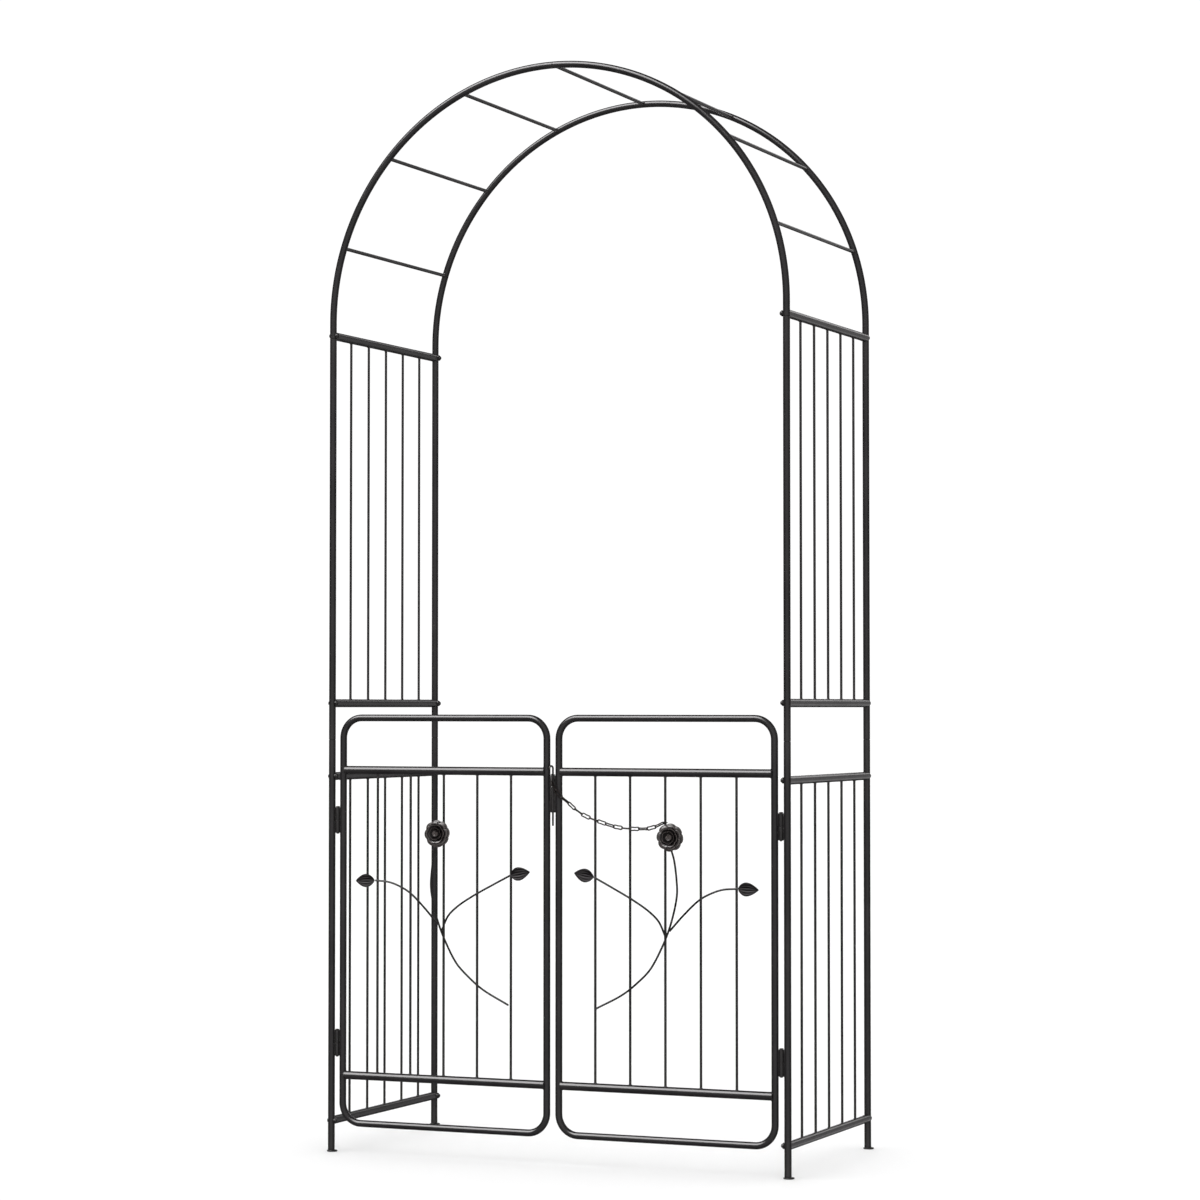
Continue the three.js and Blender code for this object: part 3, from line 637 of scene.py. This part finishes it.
for key, side in SIDES:
    for level in ("lower", "upper"):
        lo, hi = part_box(f"hinge_pin_{level}_{key}")
        cx, cy = (lo.x + hi.x) / 2, (lo.y + hi.y) / 2
        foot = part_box(f"hinge_post_{level}_{key}")[0].z
        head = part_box(f"hinge_gate_{level}_{key}")[1].z
        for part, towards, owner in (("post", side, "arch"), ("gate", -side, BODY[key])):
            node = f"hinge_{part}_{level}_{key}"
            z0, z1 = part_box(node)[0].z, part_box(node)[1].z
            bore, e = 3.1 * MM, 0.3 * MM
            b = Build()
            b.hollow([(bore, z0), (KNUCKLE_R - e, z0), (KNUCKLE_R - 0.2 * e, z0 + 0.25 * e),
                      (KNUCKLE_R, z0 + e), (KNUCKLE_R, z1 - e), (KNUCKLE_R - 0.2 * e, z1 - 0.25 * e),
                      (KNUCKLE_R - e, z1), (bore, z1)], cx, cy, 40)
            b.upright_plate(cx + towards * 4.6 * MM, cx + towards * 7.2 * MM, cy,
                            z0 + 0.4 * MM, z1 - 0.4 * MM, 3 * MM)
            # the leaf's welded edge runs the whole height of the hinge
            b.upright_plate(cx + towards * 5.75 * MM, cx + towards * 6.95 * MM, cy,
                            foot + 0.4 * MM, head - 0.4 * MM, 3 * MM, 0.2 * MM)
            piece(f"hinge_{part}_half_{level}_{key}", b, FITTING, owner, node, slot="black_coat")
            w = Build()
            for s in (-1, 1):
                weld_run(w, cx + towards * 6.5 * MM, lambda k: towards * 0.1 * MM * math.sin(k * 1.7),
                         cy + s * 1.8 * MM, z0 + (z1 - z0) * 0.06, z0 + (z1 - z0) * 0.94,
                         16, 0.9 * MM, 2.3, s)
            piece(f"hinge_{part}_weld_{level}_{key}", w, WELD, owner, slot="black_coat")
        b = Build()
        b.lathe([(2.2 * MM, lo.z), (3.0 * MM, lo.z + 0.7 * MM), (3.0 * MM, hi.z - 2.4 * MM),
                 (4.0 * MM, hi.z - 2.4 * MM), (4.3 * MM, hi.z - 2.1 * MM), (4.3 * MM, hi.z - 1.1 * MM),
                 (3.9 * MM, hi.z - 0.5 * MM), (2.8 * MM, hi.z - 0.12 * MM), (0.2 * MM, hi.z)], (cx, cy, 0))
        # bearing washer between the two halves
        split = (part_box(f"hinge_post_{level}_{key}")[1].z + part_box(f"hinge_gate_{level}_{key}")[0].z) / 2
        b.lathe([(5.0 * MM, split - 0.22 * MM), (5.1 * MM, split), (5.0 * MM, split + 0.22 * MM)],
                (cx, cy, 0))
        piece(f"hinge_bolt_{level}_{key}", b, PIN, "arch", f"hinge_pin_{level}_{key}", slot="dark_steel")

# ---------------------------------------------------------------- latch
LATCH_LO, LATCH_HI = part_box("latch_leaf_l")[0].z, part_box("latch_leaf_l")[1].z
for key, side, z0, z1 in (("l", -1, LATCH_LO, LATCH_SPLIT - GAP), ("r", 1, LATCH_SPLIT + GAP, LATCH_HI)):
    b = Build()
    bore, e = 2.3 * MM, 0.35 * MM
    b.hollow([(bore, z0), (BARREL_R - e, z0), (BARREL_R, z0 + e), (BARREL_R, z1 - e), (BARREL_R - e, z1),
              (bore, z1)], 0, FRONT_Y, 28)
    # plate beside the stile, and the web that carries the barrel
    for x0, x1, za, zb in ((4.0, 7.2, LATCH_LO, LATCH_HI), (2.9, 4.4, z0, z1)):
        b.upright_plate(side * x0 * MM, side * x1 * MM, FRONT_Y, za, zb, 2.5 * MM, 0.3 * MM)
    piece(f"latch_plate_{key}", b, FITTING, BODY[key], f"latch_leaf_{key}", slot="black_coat")
    w = Build()
    for s in (-1, 1):
        for za, zb in ((LATCH_LO + 3 * MM, LATCH_LO + 24 * MM), (LATCH_HI - 24 * MM, LATCH_HI - 3 * MM)):
            weld_run(w, side * 6.6 * MM, lambda k: side * 0.2 * MM * math.sin(k * 1.9),
                     FRONT_Y + s * 1.7 * MM, za, zb, 12, 0.85 * MM, 2.1, s)
    piece(f"latch_weld_{key}", w, WELD, BODY[key], slot="black_coat")

# pin with a hooked head
pin_lo, pin_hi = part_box("latch_pin")
top = pin_hi.z - LATCH_PIN_R
span, drop, turn = 9.8 * MM, 3.5 * MM, math.radians(66)
hook = Vector((-math.cos(turn), -math.sin(turn), 0))
r = span / 2
path = [Vector((0, FRONT_Y, pin_lo.z + (top - r - pin_lo.z) * k / 20)) for k in range(21)]
for k in range(1, 17):
    a = math.pi * k / 16
    path.append(Vector((0, FRONT_Y, top - r)) + hook * (r - r * math.cos(a)) + Vector((0, 0, r * math.sin(a))))
path += [path[-1] - Vector((0, 0, drop * k / 4)) for k in range(1, 5)]
b = Build()
b.tube(path, LATCH_PIN_R, 20, end=0.8 * MM)
piece("latch_drop_pin", b, PIN, "pin", "latch_pin", slot="dark_steel")


# ---------------------------------------------------------------- chain
LINK_LENGTH, LINK_WIDTH, LINK_WIRE = 23.5 * MM, 10.2 * MM, 1.5 * MM
LINK_PITCH = 19 * MM
END_RING_R, END_RING_WIRE = 4.2 * MM, 1.0 * MM


def chain_link(b, a, c, roll):
    """One link from a to c, with its long sides a little bowed inwards."""
    mid_point, along = (a + c) / 2, (c - a).normalized()
    u = along.orthogonal().normalized()
    up = Vector((0, 0, 1))
    if abs(along.dot(up)) < 0.95:
        u = (up - along * up.dot(along)).normalized()
    v = along.cross(u)
    across = u * math.cos(roll) + v * math.sin(roll)
    half_l, half_w = LINK_LENGTH / 2 - LINK_WIRE, LINK_WIDTH / 2 - LINK_WIRE
    straight_half = half_l - half_w
    path = []
    for sgn, start in ((1, -90), (-1, 90)):
        for k in range(10):
            ang = math.radians(start + 180 * k / 9)
            path.append(mid_point + along * (sgn * straight_half + half_w * math.cos(ang))
                        + across * (half_w * math.sin(ang)))
        # waist of the long side
        path.append(mid_point + across * (sgn * half_w * 0.86))
    b.tube(path, LINK_WIRE, 12, closed=True)


ring_z = LATCH_HI + GAP + END_RING_WIRE
rod_ring_z = 729 * MM
# The chain's route in mm, y measured from the gates' plane.
route = [(0.8, -5.7, ring_z / MM), (3.2, -13.6, 815), (8.5, -15, 800), (23, -14.5, 783), (43, -11.5, 767),
         (61, -9, 751), (83, -8, 739), (117, -7.5, 727.5), (152, -7.5, 718), (188, -7.5, 715),
         (209, -7.5, 715.5), (225, -7.5, 716), (241, -7.5, 721),
         (GATE_MIDDLE / MM - 2, -4.6, rod_ring_z / MM)]
path = catmull([(x * MM, FRONT_Y + y * MM, z * MM) for x, y, z in route], 12)
length = sum((q - p).length for p, q in zip(path, path[1:]))
count = round(length / LINK_PITCH)
stations = resample(path, count)
b = Build()
for i in range(count):
    # every other link is turned, and each hangs a little askew
    roll = (math.pi / 2.6 if i % 2 else 0) + 0.45 * math.sin(i * 1.9)
    chain_link(b, stations[i], stations[i + 1], roll)
for cx, cz in ((0.0, ring_z), (GATE_MIDDLE, rod_ring_z)):
    b.tube([(cx + END_RING_R * math.cos(TAU * k / 28), FRONT_Y + END_RING_R * math.sin(TAU * k / 28), cz)
            for k in range(28)], END_RING_WIRE, 12, closed=True)
links = piece("latch_chain", b, CHAIN, None, "chain", slot="chain_steel")
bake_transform(links)

# ---------------------------------------------------------------- flower sprays
# Stems in mm: distance from the gate's middle rod towards the hinges, and height.
STEM_MAIN = [(13.5, 684), (16, 671), (22, 650), (27.5, 608), (28.5, 582), (24, 553), (11, 507), (-7, 465),
             (-33, 420), (-60, 393), (-95, 366), (-157, 334)]
STEM_OUTER = [(164, 594), (130, 591), (101, 581), (78, 568), (44, 537), (11.5, 502)]
STEM_INNER = [(-160.5, 611), (-125, 593), (-70, 564), (-34, 541), (-13, 521), (3, 488)]
FORWARD = ROD_R + GAP + STEM_R      # the stems lie on the front of the rods
LEAF_LENGTH, LEAF_WIDTH = 46 * MM, 29 * MM


def leaf(side, base, angle):
    """Pressed sheet leaf: almond outline, raised ribs that meet at both ends, rolled edge."""
    b = Build()
    nu, nv = 52, 48

    def point(u, v, back):
        half = LEAF_WIDTH / 2 * math.sin(math.pi * u ** 0.8) ** 0.85 if 0 < u < 1 else 0
        half = max(half, 0.9 * MM * (1 - u) + 0.05 * MM)
        x, y = u * LEAF_LENGTH, v * half
        lift = 3.0 * MM * abs(v) * half / (LEAF_WIDTH / 2)
        fade = math.sin(math.pi * min(max(u, 0.02), 0.98)) ** 0.6
        rib = 1.35 * MM * fade * (1 - abs(math.sin(v * 2.5 * math.pi)) ** 0.7)
        rib += 0.7 * MM * math.exp(-(v / 0.09) ** 2) * fade
        edge = 0.5 * MM * max(0, (abs(v) - 0.88) / 0.12) * fade
        curl = 1.0 * MM * math.sin(math.pi * u) * (0.5 - u)
        depth = -0.6 * MM if back else 0.3 * MM
        return x, y, lift + rib + edge + curl + depth

    grids = []
    for back in (False, True):
        grid = []
        for i in range(nu + 1):
            for j in range(nv + 1):
                x, y, z = point(i / nu, -1 + 2 * j / nv, back)
                ca, sa = math.cos(angle), math.sin(angle)
                gx, gz = x * ca - y * sa, x * sa + y * ca
                grid.append(Vector((side * (GATE_MIDDLE + base[0] * MM + gx),
                                    FRONT_Y - FORWARD - z, base[1] * MM + gz)))
        grids.append(len(b.v))
        b.v.extend(grid)
    w = nv + 1
    for g, back in zip(grids, (False, True)):
        for i in range(nu):
            for j in range(nv):
                q = (g + i * w + j, g + i * w + j + 1, g + (i + 1) * w + j + 1, g + (i + 1) * w + j)
                b.f.append(q if back else q[::-1])
    border = [(i, 0) for i in range(nu)] + [(nu, j) for j in range(nv)] \
        + [(i, nv) for i in range(nu, 0, -1)] + [(0, j) for j in range(nv, 0, -1)]
    for k, (i, j) in enumerate(border):
        i2, j2 = border[(k + 1) % len(border)]
        b.f.append((grids[0] + i * w + j, grids[0] + i2 * w + j2,
                    grids[1] + i2 * w + j2, grids[1] + i * w + j))
    return b


def rose_whorl(b, centre, radius, inner, petals, turn, base, rise, curl, swirl, thick):
    """One layer of overlapping petals: a shallow cup with a wavy rolled rim."""
    na, nr = petals * 25, 14
    grids = []
    for back in (False, True):
        grid = []
        for i in range(nr + 1):
            t = i / nr
            for k in range(na):
                a = TAU * k / na
                phase = (petals * a / TAU) % 1.0
                lobe = math.sin(math.pi * phase) ** 0.55
                step = phase * swirl
                r = inner + (radius * (0.90 + 0.10 * lobe) - inner) * t
                h = base + rise * t ** 1.7 - curl * max(0, t - 0.72) ** 2 / 0.0784
                h += (0.9 * MM * lobe - 0.5 * MM) * t + step * t
                h += 0.16 * MM * math.cos(petals * 5 * a + 3 * t) * math.sin(math.pi * t) - (thick if back else 0)
                ang = a + turn + 0.10 * t
                grid.append(centre + Vector((r * math.cos(ang), -h, r * math.sin(ang))))
        grids.append(len(b.v))
        b.v.extend(grid)
    for g, back in zip(grids, (False, True)):
        for i in range(nr):
            for k in range(na):
                k2 = (k + 1) % na
                q = (g + i * na + k, g + i * na + k2, g + (i + 1) * na + k2, g + (i + 1) * na + k)
                b.f.append(q if back else q[::-1])
    for i in (0, nr):
        for k in range(na):
            k2 = (k + 1) % na
            b.f.append((grids[0] + i * na + k, grids[0] + i * na + k2,
                        grids[1] + i * na + k2, grids[1] + i * na + k))


# Whorls of the rose from the outside in: share of the radius, inner radius, petals, turn in radians,
# then base, rise, curl, swirl and thickness in mm.
WHORLS = ((1.00, 6, 8, 0.20, 3.4, 4.2, 4.6, 1.3, 1.1),
          (0.85, 5, 7, 0.75, 5.0, 5.8, 3.2, 1.5, 0.9),
          (0.68, 4, 6, 1.45, 5.6, 9.6, 1.3, 1.7, 0.9),
          (0.46, 3, 5, 0.35, 6.8, 8.6, 0.5, 1.6, 0.9))


def rose(centre, radius, depth):
    """Pressed rose: a boss, four whorls of petals and a rolled bud."""
    b = Build()
    b.lathe([(9 * MM, -0.2 * MM), (12 * MM, 0.8 * MM), (12 * MM, 2.4 * MM), (8 * MM, 4 * MM)],
            centre, (0, -1, 0), 36)
    for share, inner, petals, turn, *heights in WHORLS:
        rose_whorl(b, centre, radius * share, inner * MM, petals, turn, *(h * MM for h in heights))
    # rolled bud
    turns, steps = 2.3, 70
    rings = []
    for k in range(steps + 1):
        t = k / steps
        a = TAU * turns * t
        n = Vector((math.cos(a), 0, math.sin(a)))
        q = centre + n * (0.9 + 5.2 * t) * MM
        low = Vector((0, -8 * MM, 0))
        high = Vector((0, -(depth - 2.4 * MM - 2.0 * MM * t), 0))
        rings.append([q + low - n * 0.4 * MM, q + high - n * 0.35 * MM,
                      q + high + n * 0.35 * MM - Vector((0, 0.2 * MM, 0)), q + low + n * 0.4 * MM])
    b.rings(rings)
    return b


for key, side in SIDES:
    body = BODY[key]
    b, w = Build(), Build()
    for line in (STEM_MAIN, STEM_OUTER, STEM_INNER):
        path = catmull([(side * (GATE_MIDDLE + x * MM), FRONT_Y - FORWARD, z * MM) for x, z in line], 10)
        b.tube(path, STEM_DRAWN, 16, end=0.8 * MM)
        # tack welds where the stem crosses a rod
        for i in range(RODS):
            rod_x = gate_rod_x(side, i)
            for p, q in zip(path, path[1:]):
                if (p.x - rod_x) * (q.x - rod_x) <= 0 and abs(p.x - q.x) > 1e-6:
                    f = (rod_x - p.x) / (q.x - p.x)
                    c = p.lerp(q, f)
                    w.blob((c.x, FRONT_Y - 2.6 * MM, c.z), (2.6 * MM, 1.7 * MM, 2.8 * MM),
                           seed=i + side)
    piece(f"spray_stem_{key}", b, STEM, body, f"stem_{key}", slot="cast_black")
    piece(f"spray_welds_{key}", w, WELD, body, slot="black_coat")

    lo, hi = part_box(f"rose_{key}")
    centre = Vector(((lo.x + hi.x) / 2, hi.y, (lo.z + hi.z) / 2))
    b = rose(centre, (hi.z - lo.z) / 2, hi.y - lo.y)
    # a little wider and lower than the CAD's, and mirrored on the left gate
    for v in b.v:
        v.x = centre.x + side * (v.x - centre.x) * 1.07
        v.z = centre.z + (v.z - centre.z) * 1.05 - 2.0 * MM
    if side < 0:
        b.f = [f[::-1] for f in b.f]
    piece(f"spray_rose_{key}", b, CAST, body, f"rose_{key}", slot="cast_black", angle=60)

    # leaves: base is measured from the middle rod, angle is the way the tip points
    b = leaf(side, (-162, 611.5), math.pi - math.radians(10))
    piece(f"spray_leaf_inner_{key}", b, LEAF, body, f"leaf_inner_{key}", slot="cast_black", angle=50)
    b = leaf(side, (165.5, 594), math.radians(-2))
    piece(f"spray_leaf_outer_{key}", b, LEAF, body, f"leaf_outer_{key}", slot="cast_black", angle=50)

# ---------------------------------------------------------------- floor, light, camera
bm = bmesh.new()
bmesh.ops.create_circle(bm, cap_ends=True, segments=96, radius=40)
floor_mesh = bpy.data.meshes.new("studio_floor")
bm.to_mesh(floor_mesh)
bm.free()
floor = bpy.data.objects.new("studio_floor", floor_mesh)
floor.location = (0, 0, -0.0002)
floor.visible_glossy = False
bpy.context.scene.collection.objects.link(floor)
m, nt, bsdf = new_material("pale_floor")
bsdf.inputs["Base Color"].default_value = (0.93, 0.93, 0.93, 1)
bsdf.inputs["Roughness"].default_value = 0.9
bsdf.inputs["Specular IOR Level"].default_value = 0.1
floor_mesh.materials.append(m)
floor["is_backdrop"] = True

world = bpy.data.worlds.new("studio")
bpy.context.scene.world = world
world.use_nodes = True
nt = world.node_tree
nt.nodes.clear()
out = nt.nodes.new("ShaderNodeOutputWorld")
path_info = nt.nodes.new("ShaderNodeLightPath")
tc = nt.nodes.new("ShaderNodeTexCoord")


def background(colour, strength, strength_link=None):
    bg = nt.nodes.new("ShaderNodeBackground")
    bg.inputs["Color"].default_value = (*colour, 1)
    bg.inputs["Strength"].default_value = strength
    if strength_link:
        nt.links.new(strength_link, bg.inputs["Strength"])
    return bg.outputs["Background"]


def lobe(direction, start, end, strength):
    """Smooth bright patch of the studio seen in reflections, round one direction."""
    dot = nt.nodes.new("ShaderNodeVectorMath")
    dot.operation = "DOT_PRODUCT"
    dot.inputs[1].default_value = Vector(direction).normalized()
    nt.links.new(tc.outputs["Generated"], dot.inputs[0])
    r = nt.nodes.new("ShaderNodeMapRange")
    r.interpolation_type = "SMOOTHSTEP"
    r.inputs["From Min"].default_value = start
    r.inputs["From Max"].default_value = end
    r.inputs["To Min"].default_value = 0
    r.inputs["To Max"].default_value = strength
    nt.links.new(dot.outputs["Value"], r.inputs["Value"])
    return r.outputs["Result"]


# Bright patches seen in reflections, in a dim room: direction, start, end, strength.
PATCHES = (((-0.399, -0.565, 0.723), 0.87, 0.95, 11.0),      # soft box overhead
           ((0.35, -0.93, 0.12), 0.30, 1.0, 0.55),           # low broad light from the front
           ((0.06, 0.93, 0.33), 0.978, 0.993, 1.3),          # behind
           ((0.36, 0.93, -0.06), 0.94, 0.985, 0.30),         # behind, to the right
           ((0.16, 0.93, -0.27), 0.988, 0.996, 0.5),         # low strip behind
           ((-0.36, 0.93, 0.10), 0.985, 0.995, 1.6))         # skim light from the left, behind
light = 0.10
for patch in PATCHES:
    light = math_node(nt, "ADD", lobe(*patch), light)
room = background((1, 0.985, 0.99), 1.0, light)
fill = background((1, 1, 1), 1.18)
seen = background((1, 1, 1), 1.05)
shader = fill
for ray, other in (("Is Glossy Ray", room), ("Is Camera Ray", seen)):
    mix = nt.nodes.new("ShaderNodeMixShader")
    nt.links.new(path_info.outputs[ray], mix.inputs["Fac"])
    nt.links.new(shader, mix.inputs[1])
    nt.links.new(other, mix.inputs[2])
    shader = mix.outputs["Shader"]
nt.links.new(shader, out.inputs["Surface"])

cam_data = bpy.data.cameras.new("camera")
cam = bpy.data.objects.new("camera", cam_data)
bpy.context.scene.collection.objects.link(cam)
bpy.context.scene.camera = cam
yaw, pitch = math.radians(23.516), math.radians(1.856)
forward = Vector((-math.sin(yaw) * math.cos(pitch), math.cos(yaw) * math.cos(pitch), math.sin(pitch)))
right = Vector((math.cos(yaw), math.sin(yaw), 0))
up = right.cross(forward)
cam.matrix_world = Matrix((right, up, -forward)).transposed().to_4x4()
cam.location = (2.9038, -6.6747, 0.9719)
cam_data.sensor_width = 36
cam_data.lens = 99.0
cam_data.clip_start, cam_data.clip_end = 0.1, 200

bpy.context.scene.view_settings.view_transform = "Standard"

lo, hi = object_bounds()
